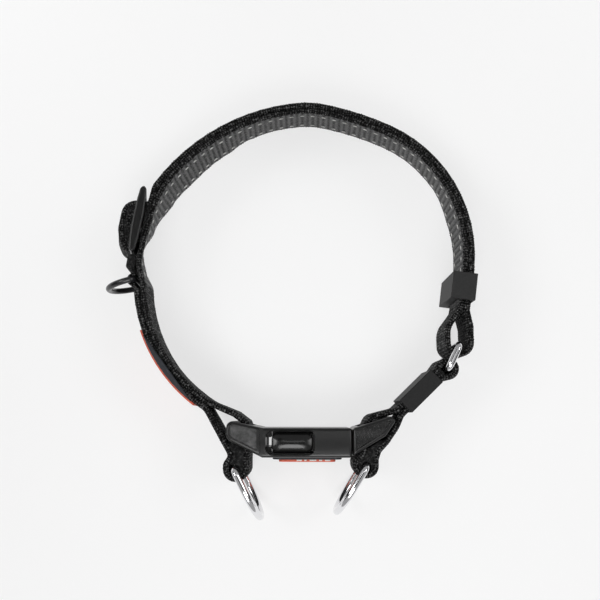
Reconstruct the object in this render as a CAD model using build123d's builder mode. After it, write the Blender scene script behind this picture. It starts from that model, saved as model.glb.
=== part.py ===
from build123d import *

import os
from math import acos, atan2, cos, degrees, hypot, radians, sin, sqrt

# An adjustable dog training collar, closed and standing on its edge. Millimetres, +Z up, the
# strap's width along Z. The origin is on the surface that it stands on, under the middle of
# the buckle's housing. +X runs from the socket to the plug and +Y across the neck opening.

# ---- webbing
STRAP_WIDTH = 25.0
STRAP_T = 2.4
LAYER_GAP = 0.3  # between two layers that lie on each other
SOFT_CLEARANCE = 0.3  # webbing to hardware
TAPE_WIDTH = 19.4  # the narrow tape that holds the tag ring
TAPE_T = 1.2

# ---- all hardware is as wide as this, and stands on the surface
HARDWARE_WIDTH = 32.0
MID_Z = HARDWARE_WIDTH / 2
WINDOW_WIDTH = STRAP_WIDTH + 2 * SOFT_CLEARANCE

# ---- plan of the neck strap: tangent arcs of its outer surface
CROWN_POINT = (-16.0856, 146.0159)  # on the outer surface, where the left arc meets the crown arcs
LEFT_ARC_R = 85.5
LEFT_ARC_START = 96.1  # degrees, where the next arcs take over
CROWN_ARCS = ((41.2, 18.7), (134.4, 12.1), (61.6, 68.3), (150.0, 7.6))  # radius, degrees
CROWN_ARCS_LEFT = 1  # so many of them lie left of the split
SPLIT_GAP = 0.4  # where the strap bends when the buckle opens

# ---- slide (three-bar adjuster)
SLIDE_ANGLE = 156.68  # degrees on the left arc
SLIDE_INSET = 2.41  # its middle, below the left arc's outer surface
SLIDE_LEAN = 9.0  # degrees off the Y axis
SLIDE_LENGTH = 28.6
SLIDE_T = 4.2
SLIDE_END_BAR = 3.8
SLIDE_BAR = 3.2
SLIDE_LIP = 2.2
SLIDE_LIP_LENGTH = 4.4
BAND_LEAN = 17.0  # degrees off the Y axis, of the ribbed band beside the slide
BAND_BLEND_R = 60.0
BULGE_OUT = 6.5
BULGE_HALF = 7.3
BULGE_ROUND = 5.2
LEAVE_ARC = 144.0  # degrees on the left arc where the outer layer leaves it
STOP_TAB_LENGTH = 6.6
STOP_TAB_T = 3.8
STOP_TAB_GAP = 0.6

# ---- left strap
LEFT_TOP_BELOW = 26.64  # the strap's top end, below the slide's middle
LEFT_TOP_INWARD = 6.95  # and towards the neck from it
LEFT_STRAP_SAG = 6.49  # of its arc, between its two ends
LEFT_END = (-53.2, 17.6)

# ---- rings: round steel wire
WIRE = 3.0
LEG_CLEARANCE = 0.3
RING_CORNER_R = 2.5
LEASH_RING_DEPTH = 24.0  # middle of its bar to the far side
LEASH_FOLD_R = 4.1
LEFT_RING_BAR = (-40.8, -10.6)
LEFT_RING_AIM = -63.0  # degrees
RIGHT_RING_BAR = (13.3, -9.3)
RIGHT_RING_AIM = -122.2
RIGHT_MERGE = (12.9, 16.3)  # where the ring's run closes on the strap, from its bar
LINK_TOP = (52.2, 40.5)
LINK_PITCH = 11.0
LINK_AIM = -116.1
LINK_FOLD_R = 4.75
LINK_FLARE = 9.0  # where the loop reaches its full width, below the strap's end
LINK_FLARE_INNER = 9.5
STRAP_FOLD_R = 3.4
TAG_WIRE = 2.6
TAG_RING_DEPTH = 14.0
TAG_CORNER_R = 1.8
RING_JOIN = 0.1  # the least straight wire between two bends
TAG_BAR_BELOW = 25.26  # the slide's middle
TAG_BAR_INWARD = 2.28
TAG_AIM = -165.8

# ---- short right strap
RIGHT_STRAP_MID = (35.9, 21.2)
RIGHT_STRAP_AIM = 44.1
SLEEVE_UP = 9.3
SLEEVE_DOWN = 8.9
SLEEVE_WALL = 0.9
SLEEVE_CLEARANCE = 0.15
STRAP_SPLIT = 11.5
FOLD_GAP = 0.4  # room for the corner where the fold leaves the sleeve

# ---- keeper
KEEPER_TURN = 4.5  # degrees along the last crown arc
KEEPER_LENGTH = 11.2
KEEPER_WALL = 2.1
KEEPER_CLEARANCE = 0.35

# ---- buckle
BODY_T = 12.0
BODY_MID_Y = 0.3
SEAM_X = 7.3
SEAM_GAP = 0.3
SOCKET_BEND_X = -29.3
SOCKET_END_X = -44.4
SOCKET_END_RISE = 2.9
SOCKET_WALL = 2.2
SIDE_WALL = 3.2
WINDOW_LEFT_X = -27.0
WINDOW_RIGHT_X = -7.8
WINDOW_HEIGHT = 9.6
CAVITY_END_X = -28.2
SOCKET_SLOT_X = -38.6
SLOT_LENGTH = 5.2
PLUG_END_X = 25.2
PLUG_END_RISE = 6.2
PLUG_SLOT_X = 9.9
PLUG_SLOT_LENGTH = 6.5
PLUG_BRANCH_END = (12.6, 0.2)  # middle of the webbing inside the plug
EDGE_FILLET = 1.0
FIT = 0.35  # plug to socket
SEAT_CLEARANCE = 0.1
PRONG_PIVOT_X = 7.2
PRONG_THICKNESS = 3.0
PRONG_HEAD_BELOW = 6.8
PRONG_PROUD = 0.0
PRONG_SHOULDER_GAP = 0.35
PRONG_TIP_GAP = 0.8
PRONG_TIP_LENGTH = 5.0
TONGUE_LENGTH = 12.0
TONGUE_WIDTH = 8.0
BADGE_T = 1.1
BADGE_FACE_T = 1.0
BADGE_HEIGHT = 16.0
BUCKLE_BADGE_LEFT_X = -25.4
BUCKLE_BADGE_RIGHT_X = 3.4
BADGE_MARGIN = 2.6
BED_DEPTH = 2.0
STRAP_BADGE_HEIGHT = 21.0
TAPE_ROOM = 2.6  # the tape starts where the outer layer ends
LEAD = 2.4  # a run leaves its neighbour straight for this far
STRAP_BADGE_START = 0.36  # shares of the left strap's length
STRAP_BADGE_END = 0.93

# ---- worked out
MID_DEPTH = STRAP_T + LAYER_GAP / 2
OUTER_DEPTH = STRAP_T / 2
INNER_DEPTH = OUTER_DEPTH + STRAP_T + LAYER_GAP
LAYER_PITCH = STRAP_T + LAYER_GAP
RING_HALF = STRAP_WIDTH / 2 + LEG_CLEARANCE + WIRE / 2
TAG_HALF = TAPE_WIDTH / 2 + LEG_CLEARANCE + TAG_WIRE / 2
HEAD_DEPTH = WINDOW_HEIGHT - 2 * FIT
ARM_DEPTH = BODY_T - 2 * SOCKET_WALL - 2 * FIT
PRONG_PIVOT_Z = HARDWARE_WIDTH - SIDE_WALL - FIT - PRONG_THICKNESS / 2
BODY_OUTER_Y = BODY_MID_Y - BODY_T / 2
BODY_INNER_Y = BODY_MID_Y + BODY_T / 2


def heading(angle):
    return Vector(cos(radians(angle)), sin(radians(angle)))


def at(centre, radius, angle):
    return Vector(*centre) + heading(angle) * radius


def local(origin, aim, along, across):
    """A plan point, along an aim in degrees and across it to the left."""
    return Vector(*origin) + heading(aim) * along + heading(aim + 90) * across


def wrap(centre, radius, start, end):
    """A run from one point, clockwise around a bar, and on to another point."""
    middle = Vector(*centre)
    came = start - middle
    goes = end - middle
    first = degrees(atan2(came.Y, came.X) - acos(radius / came.length))
    last = degrees(atan2(goes.Y, goes.X) + acos(radius / goes.length))
    Line(start, at(centre, radius, first))
    CenterArc(centre, radius, first, -((first - last) % 360))
    Line(at(centre, radius, last), end)


def left_centre():
    """The left arc's centre: its radius may change, and the crown stays where it is."""
    return at(CROWN_POINT, -LEFT_ARC_R, LEFT_ARC_START)


def slide_point(along, out):
    """A plan point on the slide: along it upwards, and out away from the neck."""
    return local(at(left_centre(), LEFT_ARC_R - SLIDE_INSET, SLIDE_ANGLE), 90 - SLIDE_LEAN, along, out)


def save(piece, node):
    piece.part.label = node
    export_step(piece.part, f"parts/{node}.step")


def webbing(node, route, thickness=STRAP_T, width=STRAP_WIDTH):
    """One run of webbing: its plan route, thickened, standing width high."""
    with BuildPart() as piece:
        with BuildSketch(Plane.XY.offset(MID_Z - width / 2)):
            trace(route.edges(), line_width=thickness)
        extrude(amount=width)
    save(piece, node)


def block(node, outline, low_z, high_z, rounding=0.0):
    """A solid of a closed plan outline between two heights."""
    with BuildPart() as piece:
        with BuildSketch(Plane.XY.offset(low_z)):
            with BuildLine():
                Polyline(*outline, close=True)
            make_face()
        extrude(amount=high_z - low_z)
        if rounding:
            fillet(piece.edges().filter_by(Axis.Z), rounding)
    save(piece, node)


# ------------------------------------------------------------------ neck strap
def crown_arcs(depth):
    """Each crown arc, this deep below the outer surface: centre, radius, start, turn."""
    aim = LEFT_ARC_START
    point = at(left_centre(), LEFT_ARC_R - depth, aim)
    arcs = []
    for outer_radius, turn in CROWN_ARCS:
        radius = outer_radius - depth
        centre = point - heading(aim) * radius
        arcs.append((centre, radius, aim, turn))
        aim -= turn
        point = at(centre, radius, aim)
    return arcs


def crown_end(depth):
    """Where the last crown arc ends, and the way the strap heads there."""
    centre, radius, start, turn = crown_arcs(depth)[-1]
    return at(centre, radius, start - turn), heading(start - turn - 90)


def neck_strap_right(node, depth):
    with BuildLine() as route:
        for index, (centre, radius, start, turn) in enumerate(crown_arcs(depth)[CROWN_ARCS_LEFT:]):
            gap = 0 if index else degrees(SPLIT_GAP / 2 / radius)
            CenterArc(centre, radius, start - gap, gap - turn)
    webbing(node, route)


def left_arc_pieces(depth):
    """The crown arcs left of the split."""
    for centre, radius, start, turn in crown_arcs(depth)[:CROWN_ARCS_LEFT]:
        gap = degrees(SPLIT_GAP / 2 / radius)
        CenterArc(centre, radius, start - turn + gap, turn - gap)


def neck_strap_outer_left():
    """The outer layer runs into the slide and over its middle bar to its sewn end."""
    radius = LEFT_ARC_R - OUTER_DEPTH
    leave = at(left_centre(), radius, LEAVE_ARC)
    with BuildLine() as route:
        left_arc_pieces(OUTER_DEPTH)
        CenterArc(left_centre(), radius, LEFT_ARC_START, LEAVE_ARC - LEFT_ARC_START)
        FilletPolyline(
            leave,
            leave + heading(LEAVE_ARC + 90) * LEAD,
            slide_point(BULGE_HALF, -SLIDE_T / 2 - 1.7),
            slide_point(BULGE_HALF, BULGE_OUT),
            slide_point(-BULGE_HALF, BULGE_OUT),
            slide_point(-BULGE_HALF, -SLIDE_T / 2 + 1.2),
            radius=[6, 2.4, BULGE_ROUND, BULGE_ROUND],
        )
    webbing("neck_strap_outer_left", route)


def band_line_out():
    """How far the ribbed band lies from the slide's middle, on the neck side."""
    return -(SLIDE_T / 2 + SOFT_CLEARANCE + STRAP_T / 2)


def band_foot():
    """Where the ribbed band touches the lower end of the slide."""
    return slide_point(1 - SLIDE_LENGTH / 2, band_line_out())


def band_blend():
    """The arc that joins the left arc to the straight run beside the slide."""
    radius = LEFT_ARC_R - INNER_DEPTH
    up = heading(90 - BAND_LEAN)
    foot = band_foot() + heading(-BAND_LEAN) * BAND_BLEND_R
    rel = foot - left_centre()
    b = rel.dot(up)
    c = rel.dot(rel) - (radius - BAND_BLEND_R) ** 2
    along = -b + sqrt(b * b - c)
    centre = foot + up * along
    out = centre - left_centre()
    return centre, degrees(atan2(out.Y, out.X))


def neck_strap_inner_left():
    """The ribbed inner layer, which runs on down beside the slide to the left strap."""
    centre, meet = band_blend()
    radius = LEFT_ARC_R - INNER_DEPTH
    straight = 180 - BAND_LEAN
    with BuildLine() as route:
        left_arc_pieces(INNER_DEPTH)
        CenterArc(left_centre(), radius, LEFT_ARC_START, meet - LEFT_ARC_START)
        CenterArc(centre, BAND_BLEND_R, meet, straight - meet)
        FilletPolyline(
            at(centre, BAND_BLEND_R, straight),
            band_foot(),
            slide_point(-SLIDE_LENGTH / 2 - 4, band_line_out()),
            left_top() + Vector(0, SPLIT_GAP),
            radius=[8, 8],
        )
    webbing("neck_strap_inner_left", route)


def link_loop():
    """The turn of the neck strap around the link ring's upper bar."""
    outer, way = crown_end(OUTER_DEPTH)
    inner, _ = crown_end(INNER_DEPTH)
    right = LINK_TOP[0] + 0.2 + LINK_FOLD_R
    left = LINK_TOP[0] + 0.2 - LINK_FOLD_R
    low = LINK_TOP[1] - WIRE / 2 - 0.75 - STRAP_T / 2
    with BuildLine() as route:
        FilletPolyline(
            outer,
            outer + way * LEAD,
            (right, outer.Y - LINK_FLARE),
            (right, low),
            (left, low),
            (left, outer.Y - LINK_FLARE_INNER),
            inner + way * LEAD,
            inner,
            radius=[5, 8, LINK_FOLD_R - 0.1, LINK_FOLD_R - 0.1, 8, 2],
        )
    webbing("neck_strap_link_loop", route)


# ------------------------------------------------------------------ slide
def slide_frame():
    half = SLIDE_LENGTH / 2
    out = SLIDE_T / 2
    window = half - SLIDE_END_BAR
    with BuildPart() as piece:
        with BuildSketch(Plane.XY):
            with BuildLine():
                Polyline(
                    slide_point(half, -out),
                    slide_point(half, out),
                    slide_point(-half + SLIDE_LIP_LENGTH + 0.8, out),
                    slide_point(-half + SLIDE_LIP_LENGTH, out + SLIDE_LIP),
                    slide_point(-half + 1.4, out + SLIDE_LIP * 0.6),
                    slide_point(-half, out * 0.4),
                    slide_point(-half, -out),
                    close=True,
                )
            make_face()
        extrude(amount=HARDWARE_WIDTH)
        fillet(piece.edges().filter_by(Axis.Z), 0.6)
        with BuildSketch(Plane.XY.offset(MID_Z - WINDOW_WIDTH / 2)):
            for low, high in ((SLIDE_BAR / 2, window), (-window, -SLIDE_BAR / 2)):
                with BuildLine():
                    Polyline(
                        slide_point(low, -4 * out),
                        slide_point(low, 4 * out),
                        slide_point(high, 4 * out),
                        slide_point(high, -4 * out),
                        close=True,
                    )
                make_face()
        extrude(amount=WINDOW_WIDTH, mode=Mode.SUBTRACT)
        fillet(piece.faces().sort_by(Axis.Z)[-1].edges(), 0.5)
        fillet(piece.faces().sort_by(Axis.Z)[0].edges(), 0.5)
    save(piece, "slide_frame")


def slide_bar_loop():
    """The sewn turn of webbing that holds the slide by its middle bar."""
    radius = hypot(SLIDE_BAR, SLIDE_T) / 2 + 0.15 + STRAP_T / 2
    end = band_line_out() + STRAP_T / 2 + 0.1
    centre = slide_point(0, 0)
    side = 180 - SLIDE_LEAN
    with BuildLine() as route:
        Line(slide_point(radius, end), slide_point(radius, 0))
        CenterArc(centre, radius, side - 90, 180)
        Line(slide_point(-radius, 0), slide_point(-radius, end))
    webbing("slide_bar_loop", route)


def slide_stop_tab():
    """The folded, sewn stop just below the slide."""
    top = -SLIDE_LENGTH / 2 - STOP_TAB_GAP
    inner = band_line_out() + STRAP_T / 2 + 0.1
    with BuildPart() as piece:
        with BuildSketch(Plane.XY.offset(MID_Z - STRAP_WIDTH / 2)):
            with BuildLine():
                Polyline(
                    slide_point(top, inner),
                    slide_point(top, inner + STOP_TAB_T),
                    slide_point(top - STOP_TAB_LENGTH, inner + STOP_TAB_T),
                    slide_point(top - STOP_TAB_LENGTH, inner),
                    close=True,
                )
            make_face()
        extrude(amount=STRAP_WIDTH)
        outer_edges = piece.edges().filter_by(Axis.Z).sort_by(Axis.X)[:2]
        fillet(outer_edges, STOP_TAB_T * 0.4)
    save(piece, "slide_stop_tab")


# ------------------------------------------------------------------ left strap
def left_top():
    """The upper end of the left strap, a set way below the slide."""
    return slide_point(-LEFT_TOP_BELOW, -LEFT_TOP_INWARD)


def tag_bar():
    """The middle of the tag ring's straight bar."""
    return slide_point(-TAG_BAR_BELOW, -TAG_BAR_INWARD)


def left_arc(shift):
    """The left strap's plan arc, shifted away from the neck."""
    top = left_top()
    chord = Vector(*LEFT_END) - top
    middle = top + chord / 2 + chord.rotate(Axis.Z, -90).normalized() * LEFT_STRAP_SAG
    arc = ThreePointArc(top, middle, LEFT_END, mode=Mode.PRIVATE)
    centre = arc.arc_center
    return centre, arc.radius + shift


def left_angles():
    centre, _ = left_arc(0)
    start = left_top() - centre
    end = Vector(*LEFT_END) - centre
    first = degrees(atan2(start.Y, start.X)) % 360
    last = degrees(atan2(end.Y, end.X)) % 360
    return first, last


def left_strap_inner():
    """From the single run down the neck side, into the socket's slot."""
    centre, radius = left_arc(0)
    first, last = left_angles()
    bar_top = BODY_INNER_Y + SOCKET_END_RISE
    slot_mid = SOCKET_SLOT_X + SLOT_LENGTH / 2
    with BuildLine() as route:
        CenterArc(centre, radius, first, last - first)
        FilletPolyline(
            LEFT_END,
            at(centre, radius, last) + heading(last + 90) * LEAD,
            (SOCKET_END_X + 3.4, bar_top + STRAP_T / 2 + 1.4),
            (slot_mid, BODY_INNER_Y + 1.8),
            (slot_mid, BODY_OUTER_Y + 4.2),
            radius=[12, 4, 2.0],
        )
    webbing("left_strap_inner", route)


def left_ring_loop():
    """Out of the socket's slot, around the left leash ring's bar and back to the strap."""
    centre, radius = left_arc(LAYER_PITCH)
    _, last = left_angles()
    start = at(centre, radius, last)
    fold_x = LEFT_RING_BAR[0] + 0.6
    fold_low = LEFT_RING_BAR[1] + 0.3 - LEASH_FOLD_R
    slot_mid = SOCKET_SLOT_X + SLOT_LENGTH / 2
    with BuildLine() as route:
        FilletPolyline(
            start,
            start + heading(last + 90) * LEAD,
            (SOCKET_END_X - 0.9, BODY_MID_Y + 0.4),
            (fold_x - 1.8, LEFT_RING_BAR[1] + 5.6),
            (fold_x - LEASH_FOLD_R, LEFT_RING_BAR[1] + 2),
            (fold_x - LEASH_FOLD_R, fold_low),
            (fold_x + LEASH_FOLD_R, fold_low),
            (fold_x + LEASH_FOLD_R, LEFT_RING_BAR[1] + 3),
            (slot_mid, BODY_OUTER_Y + 4.0),
            radius=[5.5, 5, 3, 2.5, LEASH_FOLD_R - 0.2, LEASH_FOLD_R - 0.2, 6],
        )
    webbing("left_ring_loop", route)


def left_share(out, start, end):
    """An arc between two shares of the left strap, so far out: centre, radius, start, turn."""
    centre, radius = left_arc(out)
    first, last = left_angles()
    turn = last - first
    return centre, radius, first + turn * start, turn * (end - start)


def bed_outline():
    """The crescent on the outer layer that the badge is bedded in."""
    surface = LAYER_PITCH + STRAP_T / 2
    centre, radius, start, turn = left_share(surface, STRAP_BADGE_START, STRAP_BADGE_END)
    CenterArc(centre, radius, start, turn)
    ThreePointArc(
        at(centre, radius, start + turn),
        at(centre, radius - BED_DEPTH, start + turn / 2),
        at(centre, radius, start),
    )


def left_strap_outer():
    """The outer layer, from the tag ring's tape to where it leaves for the leash ring."""
    centre, radius = left_arc(LAYER_PITCH)
    first, last = left_angles()
    first += degrees(TAPE_ROOM / radius)
    low = MID_Z - STRAP_WIDTH / 2
    with BuildPart() as piece:
        with BuildSketch(Plane.XY.offset(low)):
            with BuildLine() as route:
                CenterArc(centre, radius, first, last - first)
            trace(route.edges(), line_width=STRAP_T)
        extrude(amount=STRAP_WIDTH)
        with BuildSketch(Plane.XY.offset(low)):
            with BuildLine():
                bed_outline()
            make_face()
        extrude(amount=STRAP_WIDTH, mode=Mode.SUBTRACT)
    save(piece, "left_strap_outer")


def strap_badge():
    """A coloured badge on the outer side, and the dark crescent that it is bedded in."""
    with BuildPart() as base:
        with BuildSketch(Plane.XY.offset(MID_Z - STRAP_WIDTH / 2)):
            with BuildLine():
                bed_outline()
            make_face()
        extrude(amount=STRAP_WIDTH)
    save(base, "strap_badge_base")
    out = LAYER_PITCH + STRAP_T / 2 + BADGE_FACE_T / 2
    with BuildLine() as route:
        CenterArc(*left_share(out, STRAP_BADGE_START - 0.04, STRAP_BADGE_END + 0.02))
    webbing("strap_badge_face", route, BADGE_FACE_T, STRAP_BADGE_HEIGHT)


def tag_ring_tape():
    """The narrow tape around the tag ring's bar, sewn to the strap."""
    radius = TAG_WIRE / 2 + SOFT_CLEARANCE + TAPE_T / 2
    end = 1.0
    bar = tag_bar()
    with BuildLine() as route:
        Line(local(bar, 0, end, radius), local(bar, 0, 0, radius))
        CenterArc(bar, radius, 90, 180)
        Line(local(bar, 0, 0, -radius), local(bar, 0, end, -radius))
    webbing("tag_ring_tape", route, TAPE_T, TAPE_WIDTH)


# ------------------------------------------------------------------ rings
def d_ring(node, bar, aim, wire, half_height, depth, corner):
    """A D-ring standing on edge: its straight bar along Z, its bow out along the aim."""
    plane = Plane(origin=(*bar, MID_Z), x_dir=heading(aim), z_dir=heading(aim - 90))
    bow = depth - wire / 2
    bow_radius = min(half_height, bow - corner) - RING_JOIN
    with BuildPart() as piece:
        with BuildLine(plane):
            for side in (1, -1):
                FilletPolyline(
                    (0, 0),
                    (0, side * half_height),
                    (bow, side * half_height),
                    (bow, 0),
                    radius=[corner, bow_radius],
                )
        with BuildSketch(Plane(origin=plane.origin, z_dir=(0, 0, 1))):
            Circle(wire / 2)
        sweep(transition=Transition.ROUND)
    save(piece, node)


def link_ring():
    """A rectangular wire ring with rounded corners: both bars stand along Z."""
    plane = Plane(origin=(*LINK_TOP, MID_Z), x_dir=heading(LINK_AIM), z_dir=heading(LINK_AIM - 90))
    with BuildPart() as piece:
        with BuildLine(plane):
            for bar in (0, LINK_PITCH):
                FilletPolyline(
                    (LINK_PITCH / 2, RING_HALF),
                    (bar, RING_HALF),
                    (bar, -RING_HALF),
                    (LINK_PITCH / 2, -RING_HALF),
                    radius=[RING_CORNER_R, RING_CORNER_R],
                )
        start = plane.from_local_coords((LINK_PITCH / 2, RING_HALF))
        with BuildSketch(Plane(origin=start, z_dir=heading(LINK_AIM))):
            Circle(WIRE / 2)
        sweep(transition=Transition.ROUND)
    save(piece, "link_ring")


# ------------------------------------------------------------------ right strap
def right_point(along, across):
    return local(RIGHT_STRAP_MID, RIGHT_STRAP_AIM, along, across)


def right_strap_layers():
    for node, across in (
        ("right_strap_inner", LAYER_PITCH / 2),
        ("right_strap_outer", -LAYER_PITCH / 2),
    ):
        with BuildLine() as route:
            Line(right_point(-STRAP_SPLIT, across), right_point(SLEEVE_UP - FOLD_GAP, across))
        webbing(node, route)


def right_link_fold():
    """The turn of the short strap around the link ring's lower bar."""
    bar = local(LINK_TOP, LINK_AIM, LINK_PITCH, 0)
    start = right_point(SLEEVE_UP + FOLD_GAP, LAYER_PITCH / 2)
    end = right_point(SLEEVE_UP + FOLD_GAP, -LAYER_PITCH / 2)
    with BuildLine() as route:
        wrap(bar, STRAP_FOLD_R, start, end)
    webbing("right_strap_link_fold", route)


def right_plug_branch():
    """The inner layer, over the plug's end bar and down into its slot."""
    with BuildLine() as route:
        FilletPolyline(
            right_point(-STRAP_SPLIT, LAYER_PITCH / 2),
            right_point(-STRAP_SPLIT - 1.2, LAYER_PITCH / 2),
            (PLUG_SLOT_X + 5.3, BODY_INNER_Y + 4.3),
            (PLUG_SLOT_X + 3.5, BODY_INNER_Y + 1.5),
            PLUG_BRANCH_END,
            radius=[4, 3.0, 4],
        )
    webbing("right_plug_branch", route)


def right_ring_loop():
    """Out of the plug's slot, around the right leash ring's bar and back to the strap."""
    fold_x = RIGHT_RING_BAR[0] - 0.3
    fold_low = RIGHT_RING_BAR[1] + 0.5 - LEASH_FOLD_R
    with BuildLine() as route:
        FilletPolyline(
            (PLUG_BRANCH_END[0], PLUG_BRANCH_END[1] - SPLIT_GAP / 2),
            (PLUG_BRANCH_END[0] - 0.3, RIGHT_RING_BAR[1] + 5.2),
            (fold_x - LEASH_FOLD_R, RIGHT_RING_BAR[1] + 1.9),
            (fold_x - LEASH_FOLD_R, fold_low),
            (fold_x + LEASH_FOLD_R, fold_low),
            (fold_x + LEASH_FOLD_R, RIGHT_RING_BAR[1] + 3),
            (fold_x + 5.2, RIGHT_RING_BAR[1] + 6.3),
            (fold_x + 8.8, RIGHT_RING_BAR[1] + 10.3),
            (fold_x + RIGHT_MERGE[0], RIGHT_RING_BAR[1] + RIGHT_MERGE[1]),
            right_point(-STRAP_SPLIT - 1.2, -LAYER_PITCH / 2),
            right_point(-STRAP_SPLIT, -LAYER_PITCH / 2),
            radius=[1.6, 1.6, LEASH_FOLD_R - 0.2, LEASH_FOLD_R - 0.2, 3, 4, 8, 8, 4],
        )
    webbing("right_ring_loop", route)


def rubber_sleeve():
    """A soft tube over the sewn overlap of the short strap."""
    inner_t = 2 * STRAP_T + LAYER_GAP + 2 * SLEEVE_CLEARANCE
    inner_w = STRAP_WIDTH + 2 * SLEEVE_CLEARANCE
    middle = right_point(-SLEEVE_DOWN, 0)
    plane = Plane(origin=(middle.X, middle.Y, MID_Z), x_dir=(0, 0, 1), z_dir=heading(RIGHT_STRAP_AIM))
    with BuildPart() as piece:
        with BuildSketch(plane):
            RectangleRounded(inner_w + 2 * SLEEVE_WALL, inner_t + 2 * SLEEVE_WALL, SLEEVE_WALL)
            Rectangle(inner_w, inner_t, mode=Mode.SUBTRACT)
        extrude(amount=SLEEVE_UP + SLEEVE_DOWN)
    save(piece, "rubber_sleeve")


def rubber_keeper():
    """The loose square loop that holds both layers together."""
    inner_t = 2 * STRAP_T + LAYER_GAP + 2 * KEEPER_CLEARANCE
    centre, radius, start, _ = crown_arcs(MID_DEPTH)[-1]
    middle = at(centre, radius, start - KEEPER_TURN)
    along = heading(start - KEEPER_TURN + 90)
    foot = middle - along * (KEEPER_LENGTH / 2)
    plane = Plane(origin=(foot.X, foot.Y, MID_Z), x_dir=(0, 0, 1), z_dir=along)
    with BuildPart() as piece:
        with BuildSketch(plane):
            RectangleRounded(HARDWARE_WIDTH, inner_t + 2 * KEEPER_WALL, 0.6)
            Rectangle(STRAP_WIDTH + 2 * KEEPER_CLEARANCE, inner_t, mode=Mode.SUBTRACT)
        extrude(amount=KEEPER_LENGTH)
    save(piece, "rubber_keeper")


# ------------------------------------------------------------------ buckle
def buckle_socket():
    """The housing: a straight body, a bent end with a webbing slot, two side windows."""
    rise = SOCKET_END_RISE
    with BuildPart() as piece:
        with BuildSketch(Plane.XY):
            with BuildLine():
                Polyline(
                    (SEAM_X, BODY_INNER_Y),
                    (SEAM_X, BODY_OUTER_Y),
                    (SOCKET_BEND_X, BODY_OUTER_Y),
                    (SOCKET_END_X + 1.0, BODY_OUTER_Y + 7.0),
                    (SOCKET_END_X, BODY_INNER_Y - 0.8),
                    (SOCKET_END_X + 2.6, BODY_INNER_Y + rise),
                    (SOCKET_BEND_X, BODY_INNER_Y),
                    close=True,
                )
            make_face()
            fillet(sketch_corners_left_of(SOCKET_END_X + 2), 1.0)
        extrude(amount=HARDWARE_WIDTH)
        long_edges = piece.edges().filter_by(GeomType.LINE).filter_by(Axis.X)
        fillet(long_edges, EDGE_FILLET)
        with BuildSketch(Plane.XY.offset(SIDE_WALL)):
            with Locations(((SEAM_X + CAVITY_END_X) / 2, BODY_MID_Y)):
                Rectangle(SEAM_X - CAVITY_END_X, BODY_T - 2 * SOCKET_WALL)
        extrude(amount=HARDWARE_WIDTH - 2 * SIDE_WALL, mode=Mode.SUBTRACT)
        with BuildSketch(Plane.XY):
            with Locations(((WINDOW_LEFT_X + WINDOW_RIGHT_X) / 2, BODY_MID_Y)):
                RectangleRounded(WINDOW_RIGHT_X - WINDOW_LEFT_X, WINDOW_HEIGHT, 2.4)
        extrude(amount=HARDWARE_WIDTH, mode=Mode.SUBTRACT)
        with BuildSketch(Plane.XY.offset(MID_Z - WINDOW_WIDTH / 2)):
            with Locations((SOCKET_SLOT_X + SLOT_LENGTH / 2, BODY_MID_Y)):
                Rectangle(SLOT_LENGTH, 3 * BODY_T)
        extrude(amount=WINDOW_WIDTH, mode=Mode.SUBTRACT)
    save(piece, "buckle_socket")


def sketch_corners_left_of(x):
    sketch = BuildSketch._get_context()
    return [v for v in sketch.vertices() if v.X < x]


def buckle_plug():
    """The plug's base with its webbing slot, and the tongue that guides it."""
    rise = PLUG_END_RISE
    left = SEAM_X + SEAM_GAP
    seat = PRONG_THICKNESS / 2 + SEAT_CLEARANCE
    with BuildPart() as piece:
        with BuildSketch(Plane.XY):
            with BuildLine():
                Polyline(
                    (left, BODY_INNER_Y),
                    (left, BODY_OUTER_Y + 0.3),
                    (PLUG_SLOT_X, BODY_OUTER_Y + 2.0),
                    (PLUG_END_X - 4.2, BODY_OUTER_Y + 8.7),
                    (PLUG_END_X, BODY_INNER_Y + rise - 3.0),
                    (PLUG_END_X - 1.6, BODY_INNER_Y + rise - 1.2),
                    (left + 2.4, BODY_INNER_Y + 0.6),
                    close=True,
                )
            make_face()
        extrude(amount=HARDWARE_WIDTH)
        tip_edges = piece.edges().filter_by(Axis.Z).group_by(Axis.X)
        fillet(tip_edges[-1] + tip_edges[-2] + tip_edges[-3], 0.8)
        with BuildSketch(Plane.XY.offset(MID_Z - WINDOW_WIDTH / 2)):
            with Locations((PLUG_SLOT_X + PLUG_SLOT_LENGTH / 2, BODY_MID_Y)):
                Rectangle(PLUG_SLOT_LENGTH, 4 * BODY_T)
        extrude(amount=WINDOW_WIDTH, mode=Mode.SUBTRACT)
        with BuildSketch(Plane.YZ.offset(left - TONGUE_LENGTH)):
            with Locations((BODY_MID_Y, MID_Z)):
                Rectangle(BODY_T - 2 * SOCKET_WALL - 4 * FIT, TONGUE_WIDTH)
        extrude(amount=TONGUE_LENGTH + 1.0)
        with BuildSketch(Plane.XZ.offset(-BODY_MID_Y)):
            with Locations((PRONG_PIVOT_X, PRONG_PIVOT_Z), (PRONG_PIVOT_X, HARDWARE_WIDTH - PRONG_PIVOT_Z)):
                Circle(seat)
        extrude(amount=ARM_DEPTH / 2 + FIT, both=True, mode=Mode.SUBTRACT)
    save(piece, "buckle_plug")


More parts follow.
